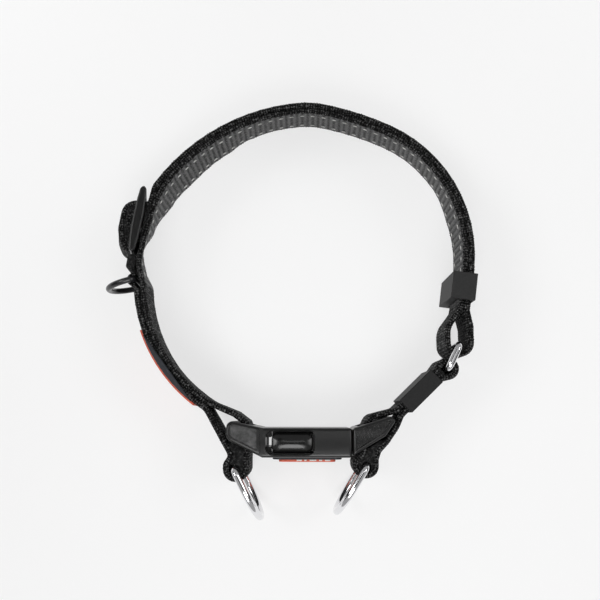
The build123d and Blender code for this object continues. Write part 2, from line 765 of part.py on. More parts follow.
def prong(node, mirror_it):
    """A sprung arm with a pressable head that fills the socket's side window."""
    arm_top = HARDWARE_WIDTH - SIDE_WALL - FIT
    arm_low = arm_top - PRONG_THICKNESS
    head_left = WINDOW_LEFT_X + PRONG_TIP_GAP
    head_right = WINDOW_RIGHT_X - PRONG_SHOULDER_GAP
    head_top = HARDWARE_WIDTH + PRONG_PROUD
    head_low = head_top - PRONG_HEAD_BELOW
    with BuildPart() as piece:
        with BuildSketch(Plane.XZ.offset(-BODY_MID_Y)):
            with BuildLine():
                Polyline(
                    (head_right, head_top),
                    (head_left + PRONG_TIP_LENGTH, head_top),
                    (head_left, head_top - 2.2),
                    (head_left, head_low + 0.6),
                    (head_right, arm_low - 0.4),
                    close=True,
                )
            make_face()
        extrude(amount=HEAD_DEPTH / 2, both=True)
        fillet(piece.edges().filter_by(Axis.Z), 1.6)
        fillet(piece.faces().sort_by(Axis.Z)[-1].edges(), 0.5)
        with BuildSketch(Plane.XZ.offset(-BODY_MID_Y)):
            with BuildLine():
                Polyline(
                    (PRONG_PIVOT_X, arm_top),
                    (head_right - 4, arm_top),
                    (head_right - 4, arm_low),
                    (PRONG_PIVOT_X, arm_low),
                    close=True,
                )
            make_face()
            with Locations((PRONG_PIVOT_X, arm_low + PRONG_THICKNESS / 2)):
                Circle(PRONG_THICKNESS / 2)
        extrude(amount=ARM_DEPTH / 2, both=True)
        if mirror_it:
            mirror(about=Plane.XY.offset(MID_Z), mode=Mode.REPLACE)
    save(piece, node)


def buckle_badge():
    """A raised badge on the buckle's outer face, with plain bars for lettering."""
    width = BUCKLE_BADGE_RIGHT_X - BUCKLE_BADGE_LEFT_X
    middle = (BUCKLE_BADGE_LEFT_X + BUCKLE_BADGE_RIGHT_X) / 2
    with BuildPart() as base:
        with BuildSketch(Plane.XZ.offset(-BODY_OUTER_Y)):
            with Locations((middle, MID_Z)):
                RectangleRounded(width, BADGE_HEIGHT, 3.0)
        extrude(amount=BADGE_T)
    save(base, "buckle_badge_base")
    with BuildPart() as face:
        with BuildSketch(Plane.XZ.offset(-BODY_OUTER_Y + BADGE_T)):
            with Locations((middle, MID_Z)):
                RectangleRounded(width - 2 * BADGE_MARGIN, BADGE_HEIGHT - 2, 2.4)
        extrude(amount=BADGE_FACE_T)
    save(face, "buckle_badge_face")


os.makedirs("parts", exist_ok=True)
neck_strap_right("neck_strap_outer_right", OUTER_DEPTH)
neck_strap_right("neck_strap_inner_right", INNER_DEPTH)
neck_strap_outer_left()
neck_strap_inner_left()
link_loop()
slide_frame()
slide_bar_loop()
slide_stop_tab()
left_strap_inner()
left_strap_outer()
left_ring_loop()
strap_badge()
tag_ring_tape()
d_ring("left_ring", LEFT_RING_BAR, LEFT_RING_AIM, WIRE, RING_HALF, LEASH_RING_DEPTH, RING_CORNER_R)
d_ring("right_ring", RIGHT_RING_BAR, RIGHT_RING_AIM, WIRE, RING_HALF, LEASH_RING_DEPTH, RING_CORNER_R)
d_ring("tag_ring", tuple(tag_bar())[:2], TAG_AIM, TAG_WIRE, TAG_HALF, TAG_RING_DEPTH, TAG_CORNER_R)
link_ring()
right_strap_layers()
right_link_fold()
right_plug_branch()
right_ring_loop()
rubber_sleeve()
rubber_keeper()
buckle_socket()
buckle_plug()
prong("prong_upper", False)
prong("prong_lower", True)
buckle_badge()
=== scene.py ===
"""An adjustable training collar with a side-release buckle and two leash rings.

It stands on its edge and is seen from above. Lengths in this file are in millimetres
until a mesh is made.
"""

import math

import bmesh
import bpy
from mathutils import Matrix, Vector


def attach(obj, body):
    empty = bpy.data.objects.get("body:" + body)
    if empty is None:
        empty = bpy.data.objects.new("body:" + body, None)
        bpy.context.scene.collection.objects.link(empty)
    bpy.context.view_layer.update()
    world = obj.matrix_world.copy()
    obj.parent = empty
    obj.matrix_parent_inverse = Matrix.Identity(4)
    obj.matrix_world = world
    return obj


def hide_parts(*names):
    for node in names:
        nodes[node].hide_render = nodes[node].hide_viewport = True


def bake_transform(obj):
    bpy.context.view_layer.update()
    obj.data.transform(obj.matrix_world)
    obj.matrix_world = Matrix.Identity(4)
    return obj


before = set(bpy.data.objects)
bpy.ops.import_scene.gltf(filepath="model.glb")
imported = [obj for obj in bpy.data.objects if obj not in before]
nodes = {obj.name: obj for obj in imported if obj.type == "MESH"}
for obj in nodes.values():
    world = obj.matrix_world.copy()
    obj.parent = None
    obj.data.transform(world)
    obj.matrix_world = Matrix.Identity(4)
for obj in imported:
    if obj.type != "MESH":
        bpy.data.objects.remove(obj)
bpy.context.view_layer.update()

MM = 0.001
SMOOTH_ANGLE = math.radians(32)

# the webbing
WEBBING_WIDTH = 25.0
WEBBING_T = 2.4
HARDWARE_HEIGHT = 32.0
MID_Z = HARDWARE_HEIGHT / 2
OUTER_DEPTH = 1.2  # of the outer layer's middle, below the strap's outer surface
INNER_DEPTH = 3.9  # of the ribbed layer's middle
LAYER_PITCH = 2.7
HALF_PITCH = LAYER_PITCH / 2
LEAD = 2.4  # the straight start of a run that leaves a layer

# the neck strap, outer surface
LEFT_CENTRE = Vector((-7.0, 61.0))
LEFT_ARC_R = 85.5
LEFT_ARC_START = 96.1
CROWN_ARCS = ((41.2, 18.7), (134.4, 12.1), (61.6, 68.3), (150.0, 7.6))
LEAVE_ARC = 144.0

# plan angle about the left centre, and how far the lower edge leans out there
LEAN = (
    (14, 0.0), (30, 0.2), (46, 2.2), (60, 2.7), (104, 2.7), (112, 2.2), (121, 0.3), (136, -0.8),
    (145, 0.0), (156, 3.6), (163, 6.2), (170, 2.8), (175, 1.0), (205, 0.9), (222, 0.4), (236, 0.0),
)
SLIDE_TILT = 4.8
TAB_TILT = 2.4

# the slide
SLIDE_MIDDLE = Vector((-83.3, 93.9))
SLIDE_AIM = 81.0
SLIDE_HALF = 14.3
BAND_OUT = -3.6
BAND_LEAN = 14.0
BAND_BLEND_R = 45.0

# the left strap
STRAP_CENTRE = Vector((-16.909, 70.061))
STRAP_INNER_R = 63.79
STRAP_FIRST = 183.2
STRAP_LAST = 235.33
STRAP_TURN = STRAP_LAST - STRAP_FIRST

# the right strap
RIGHT_MIDDLE = Vector((35.9, 21.2))
RIGHT_AIM = 44.1
LINK_LOWER_BAR = Vector((47.361, 30.622))


# ------------------------------------------------------------------ plan geometry
def heading(angle):
    turn = math.radians(angle)
    return Vector((math.cos(turn), math.sin(turn)))


def at(centre, radius, angle):
    return centre + heading(angle) * radius


def local(origin, aim, along, across):
    return origin + heading(aim) * along + heading(aim + 90) * across


def slide_point(along, out):
    return local(SLIDE_MIDDLE, SLIDE_AIM, along, out)


def right_point(along, across):
    return local(RIGHT_MIDDLE, RIGHT_AIM, along, across)


def arc(centre, radius, start, end):
    """Plan points along an arc, from one angle to the other."""
    count = max(3, int(abs(end - start) / 2.0) + 2)
    return [at(centre, radius, start + (end - start) * i / (count - 1)) for i in range(count)]


def rounded(points, radii):
    """A plan polyline with each inner corner turned by an arc of its radius."""
    made = [Vector(points[0])]
    for before, corner, after, radius in zip(points, points[1:], points[2:], radii):
        corner = Vector(corner)
        came = (Vector(before) - corner).normalized()
        goes = (Vector(after) - corner).normalized()
        opening = came.angle(goes)
        if opening > math.radians(178):
            made.append(corner)
            continue
        reach = radius / math.tan(opening / 2)
        centre = corner + (came + goes).normalized() * (radius / math.sin(opening / 2))
        first = corner + came * reach - centre
        last = corner + goes * reach - centre
        turn = first.angle_signed(last)
        count = max(3, int(math.degrees(abs(turn)) / 6) + 2)
        for i in range(count):
            spin = -turn * i / (count - 1)
            made.append(centre + Matrix.Rotation(spin, 2) @ first)
    made.append(Vector(points[-1]))
    return made


def evenly(route, step, closed=False):
    """The same route in even steps: points, headings and lengths so far."""
    clean = [route[0]]
    for point in route[1:]:
        if (point - clean[-1]).length > 0.02:
            clean.append(point)
    if closed:
        clean.append(clean[0])
    sofar = [0.0]
    for a, b in zip(clean, clean[1:]):
        sofar.append(sofar[-1] + (b - a).length)
    count = max(2, round(sofar[-1] / step) + 1)
    points, lengths, index = [], [], 0
    for i in range(count):
        want = sofar[-1] * i / (count - 1)
        while index < len(sofar) - 2 and sofar[index + 1] < want:
            index += 1
        span = sofar[index + 1] - sofar[index]
        share = (want - sofar[index]) / span
        points.append(clean[index].lerp(clean[index + 1], share))
        lengths.append(want)
    aims = []
    for i in range(count):
        a = points[max(i - 1, 0)]
        b = points[min(i + 1, count - 1)]
        aims.append((b - a).normalized())
    return points, aims, lengths


def crown_arcs(depth):
    aim = LEFT_ARC_START
    point = at(LEFT_CENTRE, LEFT_ARC_R - depth, aim)
    arcs = []
    for outer_radius, turn in CROWN_ARCS:
        radius = outer_radius - depth
        centre = point - heading(aim) * radius
        arcs.append((centre, radius, aim, turn))
        aim -= turn
        point = at(centre, radius, aim)
    return arcs


def crown_run(depth):
    run = []
    for centre, radius, start, turn in crown_arcs(depth):
        run += arc(centre, radius, start, start - turn)
    return run


def crown_end(depth):
    centre, radius, start, turn = crown_arcs(depth)[-1]
    return at(centre, radius, start - turn), heading(start - turn - 90)


def band_blend():
    """The arc between the left arc and the straight run beside the slide."""
    radius = LEFT_ARC_R - INNER_DEPTH
    up = heading(90 - BAND_LEAN)
    foot = slide_point(1 - SLIDE_HALF, BAND_OUT) + heading(-BAND_LEAN) * BAND_BLEND_R
    rel = foot - LEFT_CENTRE
    b = rel.dot(up)
    c = rel.dot(rel) - (radius - BAND_BLEND_R) ** 2
    centre = foot + up * (math.sqrt(b * b - c) - b)
    out = centre - LEFT_CENTRE
    return centre, math.degrees(math.atan2(out.y, out.x))


# ------------------------------------------------------------------ meshes
def mesh_piece(name, verts, faces, looks, smooth=True):
    """A piece from millimetre points and faces, with its looks as material slots."""
    mesh = bpy.data.meshes.new(name)
    mesh.from_pydata([(x * MM, y * MM, z * MM) for x, y, z in verts], [], faces)
    for look in looks:
        mesh.materials.append(look)
    if smooth:
        mesh.polygons.foreach_set("use_smooth", [True] * len(mesh.polygons))
    piece = bpy.data.objects.new(name, mesh)
    bpy.context.scene.collection.objects.link(piece)
    return piece


def outward(piece):
    """Turns every face of a closed piece to face out."""
    shape = bmesh.new()
    shape.from_mesh(piece.data)
    bmesh.ops.recalc_face_normals(shape, faces=shape.faces)
    shape.to_mesh(piece.data)
    shape.free()
    return piece


def lean_at(angle):
    """How far the webbing's lower edge stands out from the neck, below its upper edge."""
    for (low, low_shift), (high, high_shift) in zip(LEAN, LEAN[1:]):
        if low <= angle <= high:
            share = (angle - low) / (high - low)
            share = share * share * (3 - 2 * share)
            return low_shift + (high_shift - low_shift) * share
    return 0.0


def settle(piece):
    """The neck strap doesn't stand quite plumb: its lower edge leans out or in."""
    for vertex in piece.data.vertices:
        plan = Vector((vertex.co.x, vertex.co.y)) / MM - LEFT_CENTRE
        shift = lean_at(math.degrees(math.atan2(plan.y, plan.x)) % 360)
        shift *= (MID_Z + WEBBING_WIDTH / 2 - vertex.co.z / MM) / WEBBING_WIDTH
        way = plan.normalized() * shift * MM
        vertex.co.x += way.x
        vertex.co.y += way.y
    return piece


def tilt(piece, shift):
    """Leans a piece at the slide outwards by so much at the webbing's lower edge."""
    way = heading(SLIDE_AIM + 90) * shift * MM
    for vertex in piece.data.vertices:
        share = (MID_Z + WEBBING_WIDTH / 2 - vertex.co.z / MM) / WEBBING_WIDTH
        vertex.co.x += way.x * share
        vertex.co.y += way.y * share
    return piece


def band_section(width, thickness, edge):
    """A webbing section, walked round: across, height, outward direction and side."""
    half_t = thickness / 2
    half_w = width / 2
    flat = half_w - edge
    rows = max(3, round(2 * flat / 1.4))
    section = []
    for i in range(rows + 1):
        section.append((-half_t, -flat + 2 * flat * i / rows, -1.0, 0.0, "right"))
    for i in range(1, 8):
        turn = math.pi * i / 8
        across, rise = -math.cos(turn), math.sin(turn)
        section.append((across * half_t, flat + rise * edge, across, rise, "top"))
    for i in range(rows + 1):
        section.append((half_t, flat - 2 * flat * i / rows, 1.0, 0.0, "left"))
    for i in range(1, 8):
        turn = math.pi * i / 8
        across, rise = math.cos(turn), -math.sin(turn)
        section.append((across * half_t, -flat + rise * edge, across, rise, "bottom"))
    return section


def band(name, route, looks, width=WEBBING_WIDTH, thickness=WEBBING_T, edge=1.0, step=0.5,
         relief=None, face_look=None, mid_z=MID_Z):
    """Webbing swept along a plan route, standing on its edge, with lengths as its UV map."""
    points, aims, lengths = evenly(route, step)
    section = band_section(width, thickness, edge)
    around = [0.0]
    for a, b in zip(section, section[1:]):
        around.append(around[-1] + math.hypot(b[0] - a[0], b[1] - a[1]))
    verts, faces, slots, uvs = [], [], [], []
    for point, aim, length in zip(points, aims, lengths):
        left = Vector((-aim.y, aim.x))
        for (across, height, out_across, out_up, side), gone in zip(section, around):
            rise = relief(length, side, height, gone) if relief else 0.0
            across += out_across * rise
            spot = point + left * across
            verts.append((spot.x, spot.y, mid_z + height + out_up * rise))
    size = len(section)
    for i in range(len(points) - 1):
        for k in range(size):
            n = (k + 1) % size
            faces.append((i * size + k, i * size + n, (i + 1) * size + n, (i + 1) * size + k))
            middle = (section[k][1] + section[n][1]) / 2
            slots.append(face_look(lengths[i], section[k][4], middle) if face_look else 0)
            low = around[k]
            high = around[n] if n else around[k] + edge * 0.4
            uvs += [(lengths[i], low), (lengths[i], high), (lengths[i + 1], high), (lengths[i + 1], low)]
    last = (len(points) - 1) * size
    faces.append(tuple(reversed(range(size))))
    faces.append(tuple(last + k for k in range(size)))
    slots += [0, 0]
    uvs += [(0.0, around[k]) for k in range(size - 1, -1, -1)]
    uvs += [(lengths[-1], around[k]) for k in range(size)]
    piece = mesh_piece(name, verts, faces, looks)
    piece.data.polygons.foreach_set("material_index", slots)
    layer = piece.data.uv_layers.new(name="run")
    layer.data.foreach_set("uv", [c for uv in uvs for c in uv])
    return piece


def prism(outline, low, high):
    """The corners and faces of an upright prism."""
    size = len(outline)
    verts = [(p[0], p[1], low) for p in outline] + [(p[0], p[1], high) for p in outline]
    faces = [tuple(reversed(range(size))), tuple(range(size, 2 * size))]
    for k in range(size):
        n = (k + 1) % size
        faces.append((k, n, size + n, size + k))
    return verts, faces


def applied(piece):
    """Keeps a piece's shape with its modifiers in it."""
    bpy.context.view_layer.update()
    graph = bpy.context.evaluated_depsgraph_get()
    mesh = bpy.data.meshes.new_from_object(piece.evaluated_get(graph))
    old = piece.data
    piece.modifiers.clear()
    piece.data = mesh
    bpy.data.meshes.remove(old)
    return piece


def softened(piece, width, segments):
    soften = piece.modifiers.new("soften", "BEVEL")
    soften.width = width * MM
    soften.segments = segments
    soften.limit_method = "ANGLE"
    soften.angle_limit = SMOOTH_ANGLE
    soften.use_clamp_overlap = True
    return applied(piece)


def block(name, outline, low, high, looks, cuts=(), bevel=0.5, segments=3, turn=None, first=0.0):
    """An upright block with its edges rounded, pockets cut out and their edges rounded."""
    piece = outward(mesh_piece(name, *prism(outline, low, high), looks, smooth=False))
    if first:
        softened(piece, first, 5)
    for cut_outline, cut_low, cut_high in cuts:
        cutter = outward(mesh_piece("cutter", *prism(cut_outline, cut_low, cut_high), [], smooth=False))
        cut = piece.modifiers.new("cut", "BOOLEAN")
        cut.operation = "DIFFERENCE"
        cut.solver = "EXACT"
        cut.object = cutter
        applied(piece)
        bpy.data.objects.remove(cutter)
    if turn:
        piece.data.transform(turn)
    if bevel:
        softened(piece, bevel, segments)
    piece.data.name = name
    shade(piece)
    return piece


def crowned(piece, middle, half, drop):
    """Gives the top and bottom of a flat block a slight crown across its depth."""
    shape = bmesh.new()
    shape.from_mesh(piece.data)
    for step in range(-6, 13):
        everything = list(shape.verts) + list(shape.edges) + list(shape.faces)
        bmesh.ops.bisect_plane(shape, geom=everything, plane_co=(0, step * MM, 0), plane_no=(0, 1, 0))
    for vertex in shape.verts:
        off = vertex.co.z / MM - MID_Z
        if abs(off) > 12.9:
            share = min(1.2, abs(vertex.co.y / MM - middle(vertex.co.x / MM)) / half)
            vertex.co.z -= math.copysign(drop * share * share * MM, off)
    shape.to_mesh(piece.data)
    shape.free()
    piece.data.set_sharp_from_angle(angle=SMOOTH_ANGLE)


def panels(piece, look, heights):
    """Gives the flat pocket floors at these heights another look."""
    piece.data.materials.append(look)
    for face in piece.data.polygons:
        for height in heights:
            if abs(face.center.z / MM - height) < 0.05 and abs(face.normal.z) > 0.9:
                face.material_index = len(piece.data.materials) - 1


def shade(piece, angle=SMOOTH_ANGLE):
    piece.data.polygons.foreach_set("use_smooth", [True] * len(piece.data.polygons))
    piece.data.set_sharp_from_angle(angle=angle)
    even = piece.modifiers.new("even", "WEIGHTED_NORMAL")
    even.weight = 100
    even.keep_sharp = True
    return piece


def rect(low_x, low_y, high_x, high_y, radius=0.0):
    """A plan rectangle, with rounded corners where a radius is given."""
    if not radius:
        return [(low_x, low_y), (high_x, low_y), (high_x, high_y), (low_x, high_y)]
    made = []
    corners = ((high_x, low_y, -90), (high_x, high_y, 0), (low_x, high_y, 90), (low_x, low_y, 180))
    for cx, cy, start in corners:
        mx = cx - math.copysign(radius, cx - (low_x + high_x) / 2)
        my = cy - math.copysign(radius, cy - (low_y + high_y) / 2)
        for i in range(6):
            spot = heading(start + 90 * i / 5) * radius
            made.append((mx + spot.x, my + spot.y))
    return made


def turned(outline, origin, aim):
    """Plan points given along and across an aim, put in place."""
    return [tuple(local(origin, aim, along, across)) for along, across in outline]


def upright(front):
    """Turns a block built in plan so that its thickness runs along +Y from front."""
    return Matrix(((1, 0, 0, 0), (0, 0, 1, front * MM), (0, 1, 0, 0), (0, 0, 0, 1)))


# ------------------------------------------------------------------ looks
def linear(code):
    """A hex colour as linear red, green, blue and one."""
    made = []
    for i in (1, 3, 5):
        share = int(code[i:i + 2], 16) / 255
        made.append(share / 12.92 if share <= 0.04045 else ((share + 0.055) / 1.055) ** 2.4)
    return (*made, 1.0)


class Look:
    """A material and its nodes."""

    def __init__(self, name, colour, roughness, **sockets):
        self.material = bpy.data.materials.new(name)
        self.material.use_nodes = True
        self.tree = self.material.node_tree
        self.surface = self.tree.nodes["Principled BSDF"]
        self.surface.inputs["Base Color"].default_value = linear(colour)
        self.surface.inputs["Roughness"].default_value = roughness
        for socket, value in sockets.items():
            self.surface.inputs[socket.replace("_", " ")].default_value = value

    def add(self, kind, inputs=(), **settings):
        """A node with its settings; an input is a value or another node's output."""
        node = self.tree.nodes.new(kind)
        for setting, value in settings.items():
            setattr(node, setting, value)
        for key, value in dict(inputs).items():
            if isinstance(value, bpy.types.NodeSocket):
                self.tree.links.new(value, node.inputs[key])
            else:
                node.inputs[key].default_value = value
        return node

    def sum(self, operation, a, b=0.0):
        return self.add("ShaderNodeMath", {0: a, 1: b}, operation=operation).outputs[0]

    def run(self):
        """Millimetres along the webbing and around it."""
        where = self.add("ShaderNodeUVMap", uv_map="run").outputs[0]
        split = self.add("ShaderNodeSeparateXYZ", {0: where})
        return split.outputs[0], split.outputs[1]

    def place(self, tall=1.0):
        """The spot on the piece, in millimetres, or in so many of them upwards."""
        where = self.add("ShaderNodeTexCoord").outputs["Object"]
        scale = (1000, 1000, 1000 / tall)
        scaled = self.add("ShaderNodeVectorMath", {0: where, 1: scale}, operation="MULTIPLY")
        return scaled.outputs[0]

    def speckle(self, size, detail=4.0, rough=0.6, tall=1.0):
        """Grains of about this many millimetres, as shares, and so many times as tall."""
        return self.add(
            "ShaderNodeTexNoise",
            {"Vector": self.place(tall), "Scale": 1 / size, "Detail": detail, "Roughness": rough},
        ).outputs["Fac"]

    def tint(self, share, low, high, from_low=0.0, from_high=1.0):
        """The base colour goes from low to high as share does."""
        ramp = self.add("ShaderNodeValToRGB", {0: share})
        ramp.color_ramp.elements[0].position = from_low
        ramp.color_ramp.elements[0].color = linear(low)
        ramp.color_ramp.elements[1].position = from_high
        ramp.color_ramp.elements[1].color = linear(high)
        self.tree.links.new(ramp.outputs[0], self.surface.inputs["Base Color"])

    def bump(self, height, depth, strength=1.0):
        """Raises the surface by up to depth millimetres."""
        node = self.add("ShaderNodeBump", {"Height": height, "Distance": depth * MM, "Strength": strength})
        self.tree.links.new(node.outputs[0], self.surface.inputs["Normal"])

    def rough(self, share, low, high):
        """Roughness from low to high as share goes from nought to one."""
        node = self.add("ShaderNodeMapRange", {"Value": share, "To Min": low, "To Max": high})
        self.tree.links.new(node.outputs[0], self.surface.inputs["Roughness"])


def braided_polyester(name, low, high, grain=0.8, bump=0.9, tall=1.0):
    """Black yarn in a diagonal braid, with a painted highlight on the yarn backs and painted shade at the
    crossings.
    """
    look = Look(name, high, 0.75, Specular_IOR_Level=0.15)
    along, around = look.run()
    turn = 2 * math.pi / BRAID_PITCH
    stray = look.sum("MULTIPLY", look.speckle(2.2, 2.0, 0.6), 8.0)
    phase_one = look.sum("ADD", look.sum("MULTIPLY", look.sum("ADD", along, around), turn), stray)
    across = look.sum("MULTIPLY", look.sum("SUBTRACT", along, around), turn)
    phase_other = look.sum("SUBTRACT", across, stray)
    weave = look.sum("MULTIPLY", look.sum("SINE", phase_one), look.sum("SINE", phase_other))
    grains = look.speckle(grain, 3.0, 0.8, tall)
    mixed = look.sum("ADD", look.sum("MULTIPLY", weave, 0.14), grains)
    # the base colour paints the braid's highlights and shade: lighter on the yarn backs, dark at the
    # crossings
    look.tint(mixed, low, high, 0.5, 0.72)
    look.bump(mixed, bump)
    return look.material


def moulded_plastic(name, low, high, roughness, grain=0.35, depth=0.02):
    """Glass-filled nylon: a fine spark-eroded grain over a dark grey."""
    look = Look(name, high, roughness, Specular_IOR_Level=0.5)
    grains = look.speckle(grain)
    look.tint(grains, low, high, 0.3, 0.7)
    look.bump(grains, depth)
    look.rough(grains, roughness - 0.06, roughness + 0.08)
    return look.material


def rubber(name, low, high, roughness=0.62):
    """Moulded rubber: soft grey, with a faint bloom."""
    look = Look(name, high, roughness, Specular_IOR_Level=0.3)
    grains = look.speckle(0.8)
    look.tint(grains, low, high, 0.25, 0.75)
    look.bump(grains, 0.03)
    return look.material


def rib_rubber():
    """Rubber yarn laid across the webbing, with painted light on each rib and painted shade in the
    grooves.
    """
    look = Look("rib_rubber", "#4a4a4a", 0.65, Specular_IOR_Level=0.3)
    along, _ = look.run()
    wave = look.sum("SINE", look.sum("MULTIPLY", along, 2 * math.pi / RIB_PITCH))
    grains = look.speckle(0.9, 4.0, 0.75, 2.0)
    mixed = look.sum("ADD", look.sum("MULTIPLY", wave, 0.13), grains)
    # the rib wave paints light on each rib's back and shade in each groove; the grain is the rubber's own
    look.tint(mixed, "#060606", "#707070", 0.3, 0.74)
    look.bump(grains, 0.4)
    return look.material


def polished_steel(name, colour="#e8e8ea", roughness=0.09):
    """Nickel-plated steel wire: mirror bright, with faint drawing marks."""
    look = Look(name, colour, roughness, Metallic=1.0)
    grains = look.speckle(1.5)
    look.rough(grains, roughness - 0.03, roughness + 0.06)
    return look.material


def painted_wire():
    """Black electrophoretic paint on wire: glossy and dark."""
    look = Look("tag_ring_paint", "#1d1d1f", 0.22)
    look.rough(look.speckle(0.9), 0.16, 0.3)
    return look.material


def enamel(name, low, high, roughness=0.45):
    """Soft printed silicone: an even colour with a fine grain."""
    look = Look(name, high, roughness)
    grains = look.speckle(1.2)
    look.tint(grains, low, high, 0.3, 0.7)
    look.bump(grains, 0.03)
    return look.material


BRAID_PITCH = 2.2
RIB_PITCH = 2.4
RIB_HEIGHT = 0.34
DASH_PITCH = 4.8
DASH_LENGTH = 2.0
DASH_HEIGHT = 0.9
DASH_FROM_EDGE = 4.6
DASH_STEP = 0.25
DASH_MARGIN = 4  # of bare webbing before the first dash and after the last
DASH_RINGS = 9
DASH_SIDES = 8
RIB_MARGIN = 1.2  # of plain webbing beside the ribs
CORE_LOW, CORE_HIGH = 4.2, 28.2

braid = braided_polyester("braided_polyester", "#000000", "#666666", 1.15)
braid_face = braided_polyester("braided_polyester_face", "#010101", "#7c7c7c", 1.3, 1.2, 4.0)
ribs = rib_rubber()


def bundled_yarn():
    """The same yarn where cut and sewn layers lie against each other, seen on edge."""
    look = Look("sewn_yarn_layers", "#3a3a3a", 0.7, Specular_IOR_Level=0.25)
    grains = look.speckle(0.9, 5.0, 0.75)
    look.tint(grains, "#010101", "#4a4a4a", 0.48, 0.7)
    look.bump(grains, 0.9)
    return look.material


core_yarn = bundled_yarn()
dash_yarn = enamel("reflective_dash_yarn", "#9a9a98", "#dededa", 0.5)
nylon = moulded_plastic("glass_filled_nylon", "#080808", "#161616", 0.3)
nylon_gloss = moulded_plastic("gloss_nylon", "#0c0c0c", "#222222", 0.25, 1.4, 0.03)
nylon_pad = moulded_plastic("polished_nylon", "#0b0b0b", "#121212", 0.2, 0.6, 0.006)
# the pocket floors' coarse grain is real; their lighter grey is a painted sheen of the rough texture
nylon_panel_sheen = moulded_plastic("eroded_nylon_painted_sheen", "#121212", "#525252", 0.45, 2.2, 0.12)
steel = polished_steel("nickel_plated_steel")
paint = painted_wire()
keeper_rubber = rubber("keeper_rubber", "#202020", "#2a2a2a")
sleeve_rubber = rubber("sleeve_rubber", "#101010", "#1c1c1c", 0.6)
badge_dark = enamel("badge_blue_grey_rubber", "#171a1f", "#23272e", 0.4)
badge_coral = enamel("badge_coral_silicone", "#c9563f", "#dd6d55", 0.5)
badge_white = enamel("badge_white_print", "#d2d2ce", "#e8e8e4", 0.5)


# ------------------------------------------------------------------ the long webbing
LINK_FOLD_X = (47.65, 57.3)
LINK_FOLD_LOW = 36.85


def link_fold():
    """The turn of the neck strap around the link ring's upper bar."""
    left, right = LINK_FOLD_X
    outer, way = crown_end(OUTER_DEPTH)
    inner, _ = crown_end(INNER_DEPTH)
    points = [
        inner,
        inner + way * LEAD,
        (left, outer.y - 9.5),
        (left, LINK_FOLD_LOW),
        (right, LINK_FOLD_LOW),
        (right, outer.y - 9),
        outer + way * LEAD,
        outer,
    ]
    return rounded(points, [2, 8, 4.65, 4.65, 8, 5])


def left_ring_turn():
    """From the left strap's outer layer, around the leash ring's bar, into the buckle's slot."""
    start = at(STRAP_CENTRE, STRAP_INNER_R + LAYER_PITCH, STRAP_LAST)
    points = [
        start,
        start + heading(STRAP_LAST + 90) * LEAD,
        (-45.3, 0.7),
        (-42, -5),
        (-44.3, -8.6),
        (-44.3, -14.4),
        (-36.1, -14.4),
        (-36.1, -7.6),
        (-36, -1.7),
    ]
    return rounded(points, [5.5, 5, 3, 2.5, 3.9, 3.9, 6])


def left_strap_up():
    """Out of the buckle's slot and up the neck side of the left strap."""
    end = at(STRAP_CENTRE, STRAP_INNER_R, STRAP_LAST)
    points = [(-36, -1.5), (-36, 8.1), (-41.0, 11.8), end + heading(STRAP_LAST + 90) * LEAD, end]
    return rounded(points, [2, 4, 12]) + arc(STRAP_CENTRE, STRAP_INNER_R, STRAP_LAST, STRAP_FIRST)


def ribbed_run():
    """The ribbed layer, from the single strip below the slide to the link ring."""
    centre, meet = band_blend()
    foot = at(centre, BAND_BLEND_R, 180 - BAND_LEAN)
    strip = [(-80.6, 66.9), slide_point(-18.3, BAND_OUT), slide_point(-13.3, BAND_OUT), foot]
    run = rounded(strip, [8, 8])
    run += arc(centre, BAND_BLEND_R, 180 - BAND_LEAN, meet)
    run += arc(LEFT_CENTRE, LEFT_ARC_R - INNER_DEPTH, meet, LEFT_ARC_START)
    return run + crown_run(INNER_DEPTH)


def outer_run():
    """The outer layer, back over the crown and over the slide's middle bar."""
    radius = LEFT_ARC_R - OUTER_DEPTH
    leave = at(LEFT_CENTRE, radius, LEAVE_ARC)
    run = list(reversed(crown_run(OUTER_DEPTH)))
    run += arc(LEFT_CENTRE, radius, LEFT_ARC_START, LEAVE_ARC)
    points = [
        leave,
        leave + heading(LEAVE_ARC + 90) * LEAD,
        slide_point(7.3, -3.8),
        slide_point(7.3, 6.5),
        slide_point(-5.0, 6.5),
        slide_point(-12.6, 3.6),
        slide_point(-13.0, 0.6),
    ]
    return run + rounded(points, [6, 2.4, 5.2, 6, 2])


def length_of(route):
    return sum((b - a).length for a, b in zip(route, route[1:]))


first_part = arc(STRAP_CENTRE, STRAP_INNER_R + LAYER_PITCH, STRAP_FIRST + 2.3, STRAP_LAST)
first_part += left_ring_turn()
neck_part = left_strap_up()
ribbed = ribbed_run()
rib_start = length_of(first_part + neck_part)
rib_end = length_of(first_part + neck_part + ribbed)
long_route = first_part + neck_part + ribbed + link_fold() + outer_run()


def plain_relief(length, side, height, gone):
    """The yarns of the braid stand proud along the webbing's edges."""
    turn = 2 * math.pi / BRAID_PITCH
    weave = math.sin((length + gone) * turn) * math.sin((length - gone) * turn)
    stray = math.sin(length * 1.9 + gone * 3.3) * math.sin(length * 2.9 - gone * 2.1 + 1.0)
    if side in ("top", "bottom"):
        return 0.18 * weave + 0.18 * stray + 0.04 * math.sin(length * 1.27)
    return 0.04 * weave + 0.03 * stray


def rib_share(length):
    """One on a rib's back and nought in a groove."""
    wave = math.sin(2 * math.pi * length / RIB_PITCH)
    return 0.5 + 0.5 * math.tanh(2.2 * wave) / math.tanh(2.2)


def webbing_relief(length, side, height, gone):
    if side == "right" and rib_start < length < rib_end:
        if abs(height) < WEBBING_WIDTH / 2 - RIB_MARGIN:
            return RIB_HEIGHT * (rib_share(length) - 0.6)
        return 0.0
    return plain_relief(length, side, height, gone)


def webbing_look(length, side, height):
    if side == "right" and rib_start < length < rib_end:
        return 1
    return 2 if side in ("left", "right") else 0


